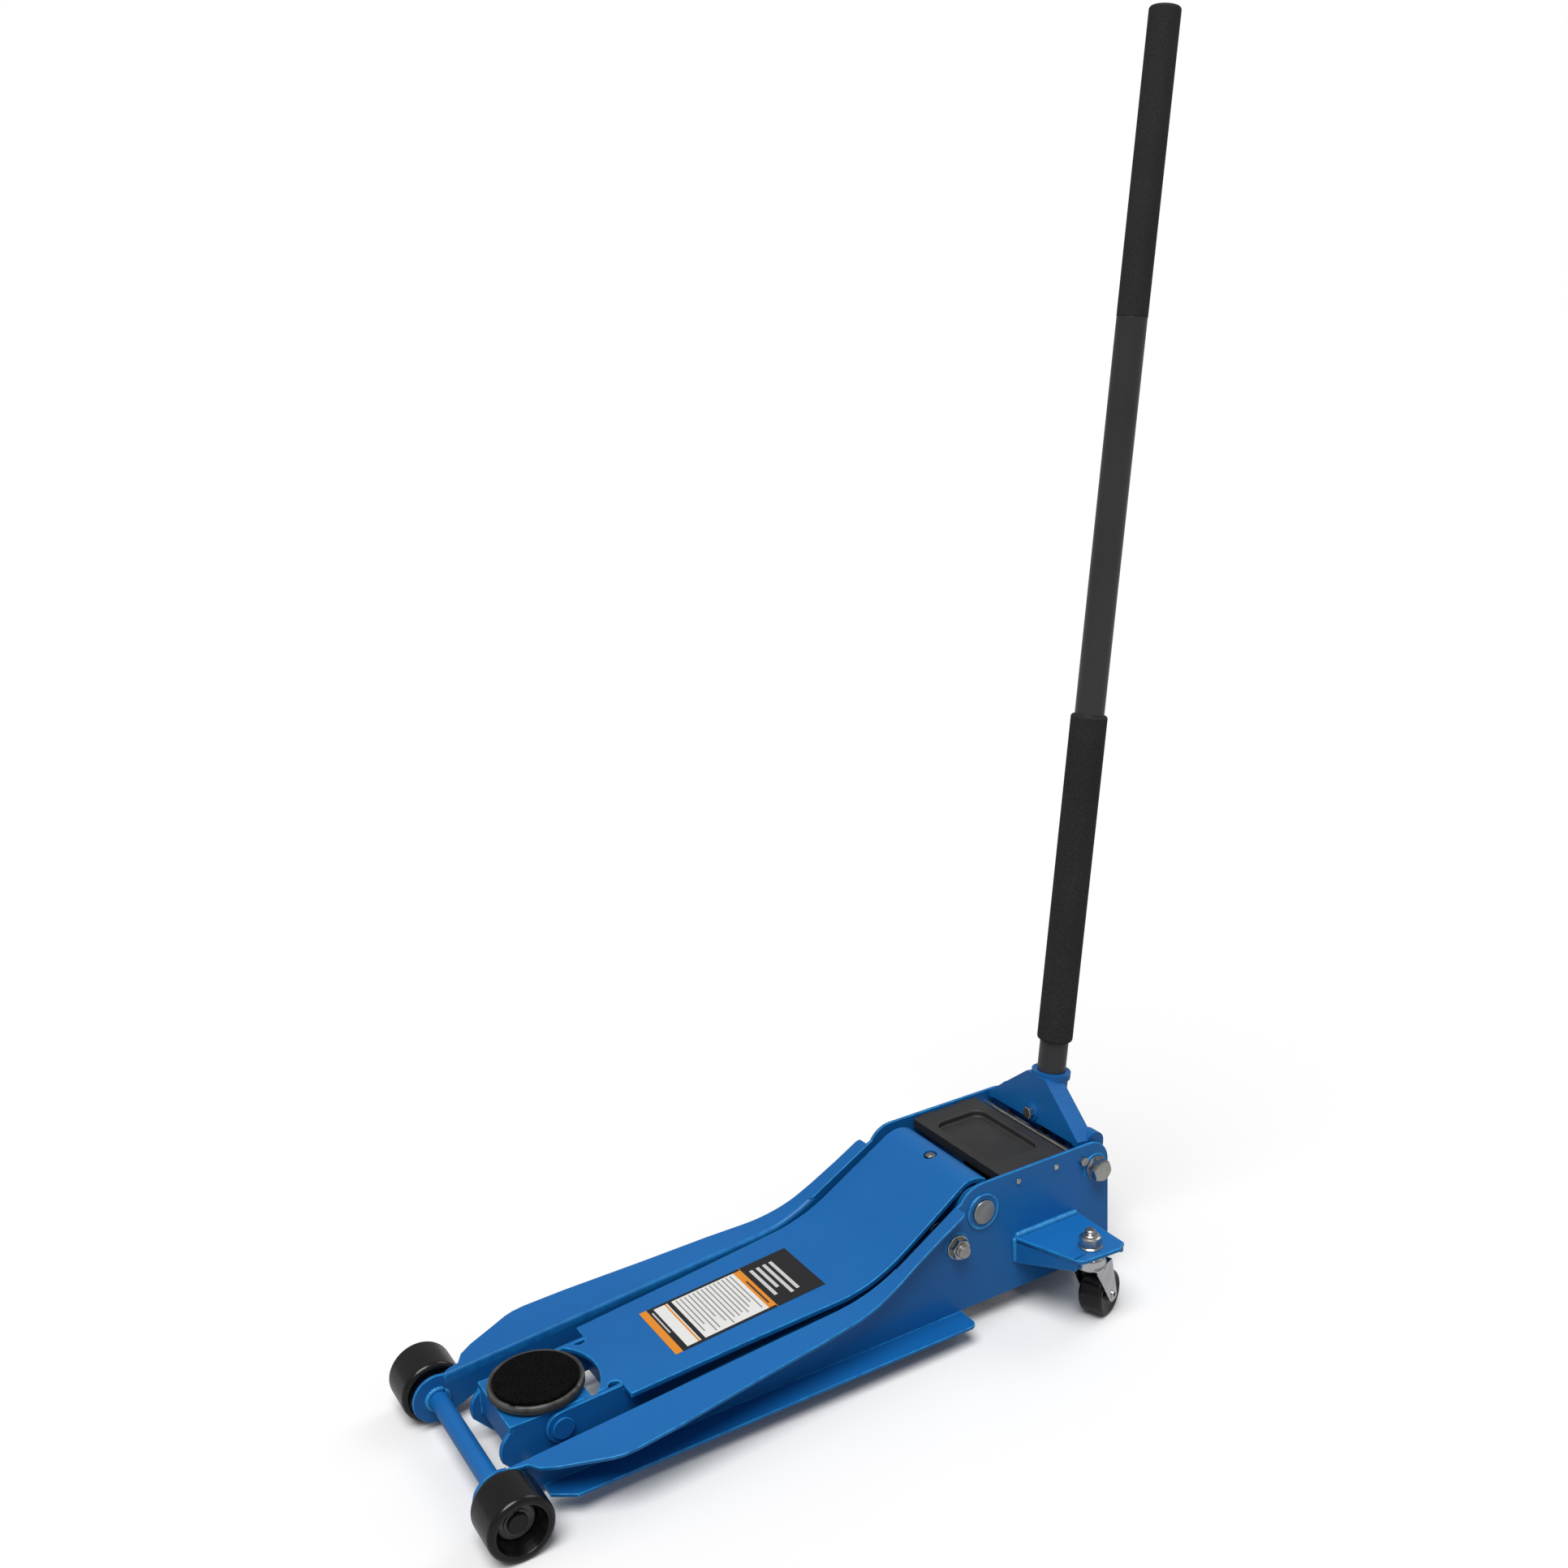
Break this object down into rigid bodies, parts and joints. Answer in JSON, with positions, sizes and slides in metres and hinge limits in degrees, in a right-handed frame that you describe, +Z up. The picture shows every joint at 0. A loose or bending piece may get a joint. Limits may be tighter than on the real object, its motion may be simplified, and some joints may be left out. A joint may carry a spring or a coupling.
{
  "type": "trolley jack",
  "caption": "Long low trolley jack: bent side plates on front rollers and rear casters, lift arm with round saddle, tool tray, pump yoke and long foam-sleeved handle.",
  "frame": {"origin": "on the floor, at the middle of the jack's overall length and width", "axes": "+Z up, +Y towards the handle end, -Y towards the saddle, +X to the left of a person who holds the handle"},
  "size_m": [0.3688, 1.0046, 1.4499],
  "materials": {
    "blue_paint": "glossy enamel",
    "grey_steel": "phosphated",
    "black_roller": "gloss moulded nylon",
    "zinc": "bright zinc plate",
    "chrome": "bright chrome",
    "black_tray": "satin black",
    "cast_grey": "painted casting",
    "saddle_iron": "blackened casting",
    "saddle_rubber": "textured rubber",
    "handle_paint": "satin powder coat",
    "foam": "closed-cell foam",
    "grip_rubber": "fine-textured sleeve",
    "label": null,
    "plug_plastic": "moulded plug"
  },
  "bodies": {
    "frame": {"left_side_plate": "blue_paint", "right_side_plate": "blue_paint", "rear_cross_plate": "blue_paint", "front_axle": "blue_paint", "axle_washers": "grey_steel", "axle_circlips": "grey_steel", "left_caster_bracket": "blue_paint", "right_caster_bracket": "blue_paint", "caster_stems": "zinc", "caster_nuts": "zinc", "caster_races": "chrome", "tool_tray": "black_tray", "tray_screws": "zinc", "cross_rod": "zinc", "cross_rod_bolts": "zinc", "main_pivot_shaft": "zinc", "link_anchor_bolts": "zinc", "link_anchor_nuts": "zinc", "pump_block": "cast_grey", "ram_cylinder": "cast_grey", "filler_plug": "plug_plastic", "yoke_pivot_bolts": "zinc", "return_springs": "zinc"},
    "left_roller": {"left_front_roller": "black_roller"},
    "right_roller": {"right_front_roller": "black_roller"},
    "left_caster": {"left_caster_fork": "chrome", "left_caster_rivet": "chrome"},
    "right_caster": {"right_caster_fork": "chrome", "right_caster_rivet": "chrome"},
    "left_wheel": {"left_caster_wheel": "black_roller"},
    "right_wheel": {"right_caster_wheel": "black_roller"},
    "lift_arm": {"arm_top_plate": "blue_paint", "arm_left_cheek": "blue_paint", "arm_right_cheek": "blue_paint", "arm_pivot_tube": "blue_paint", "lever_plates": "blue_paint", "lever_pin": "zinc", "lever_roller": "zinc", "arm_lock_screw": "zinc", "data_label": "label", "saddle_pivot_pins": "blue_paint"},
    "saddle_carrier": {"saddle_bracket": "blue_paint", "link_front_pin": "zinc"},
    "saddle_plate": {"saddle": "saddle_iron", "saddle_pad": "saddle_rubber", "saddle_screw": "zinc"},
    "level_links": {"left_link": "blue_paint", "right_link": "blue_paint"},
    "ram": {"ram_rod": "chrome"},
    "yoke": {"handle_yoke": "blue_paint", "handle_lock_bolt": "zinc", "yoke_roller": "zinc"},
    "handle": {"handle_lower_tube": "handle_paint", "handle_upper_tube": "handle_paint", "foam_sleeve": "foam", "hand_grip": "grip_rubber", "handle_button": "zinc"},
    "valve": {"release_valve": "zinc"},
    "plunger": {"pump_plunger": "chrome", "plunger_spring": "zinc"}
  },
  "joints": [
    {"name": "left_roller_spin", "type": "hinge", "parent": "frame", "child": "left_roller", "pos_m": [0.128, -0.46692, 0.0354], "axis": [1, 0, 0], "continuous": true},
    {"name": "right_roller_spin", "type": "hinge", "parent": "frame", "child": "right_roller", "pos_m": [-0.128, -0.46692, 0.0354], "axis": [1, 0, 0], "continuous": true},
    {"name": "left_caster_swivel", "type": "hinge", "parent": "frame", "child": "left_caster", "pos_m": [0.161, 0.23608, 0.08], "axis": [0, 0, 1], "continuous": true},
    {"name": "right_caster_swivel", "type": "hinge", "parent": "frame", "child": "right_caster", "pos_m": [-0.161, 0.23608, 0.08], "axis": [0, 0, 1], "continuous": true},
    {"name": "left_wheel_spin", "type": "hinge", "parent": "left_caster", "child": "left_wheel", "pos_m": [0.15276, 0.25648, 0.027], "axis": [0.9272, 0.3746, 0], "continuous": true},
    {"name": "right_wheel_spin", "type": "hinge", "parent": "right_caster", "child": "right_wheel", "pos_m": [-0.15276, 0.25648, 0.027], "axis": [0.9272, -0.3746, 0], "continuous": true},
    {"name": "lift", "type": "hinge", "parent": "frame", "child": "lift_arm", "pos_m": [0, 0.13308, 0.145], "axis": [-1, 0, 0], "range_deg": [0, 56], "deforming": ["return_springs"]},
    {"name": "saddle_level", "type": "hinge", "parent": "lift_arm", "child": "saddle_carrier", "pos_m": [0, -0.37992, 0.051], "axis": [-1, 0, 0], "range_deg": [-58, 2]},
    {"name": "saddle_turn", "type": "hinge", "parent": "saddle_carrier", "child": "saddle_plate", "pos_m": [0, -0.38592, 0.07], "axis": [0, 0, 1], "continuous": true},
    {"name": "link_swing", "type": "hinge", "parent": "frame", "child": "level_links", "pos_m": [0, 0.09508, 0.113], "axis": [-1, 0, 0], "range_deg": [-2, 58]},
    {"name": "ram_slide", "type": "slide", "parent": "frame", "child": "ram", "axis": [0, -1, 0], "range_m": [-0.001, 0.06]},
    {"name": "pump_stroke", "type": "hinge", "parent": "frame", "child": "yoke", "pos_m": [0, 0.30108, 0.147], "axis": [-1, 0, 0], "range_deg": [-6, 68]},
    {"name": "handle_twist", "type": "hinge", "parent": "yoke", "child": "handle", "pos_m": [0, 0.30108, 0.147], "axis": [0, 0.1402, 0.9901], "range_deg": [0, 180]},
    {"name": "valve_turn", "type": "hinge", "parent": "frame", "child": "valve", "pos_m": [0, 0.30108, 0.147], "axis": [0, 0.766, 0.6428], "range_deg": [-2, 182]},
    {"name": "plunger_slide", "type": "slide", "parent": "frame", "child": "plunger", "axis": [0, -1, 0], "range_m": [-0.004, 0.028], "deforming": ["plunger_spring"]}
  ],
  "couplings": [
    {"joint": "saddle_level", "follows": "lift", "ratio": -1},
    {"joint": "link_swing", "follows": "lift", "ratio": 1},
    {"joint": "ram_slide", "follows": "lift", "m_per_rad": 0.059547},
    {"joint": "valve_turn", "follows": "handle_twist", "ratio": 1},
    {"joint": "plunger_slide", "follows": "pump_stroke", "m_per_rad": 0.022076}
  ]
}
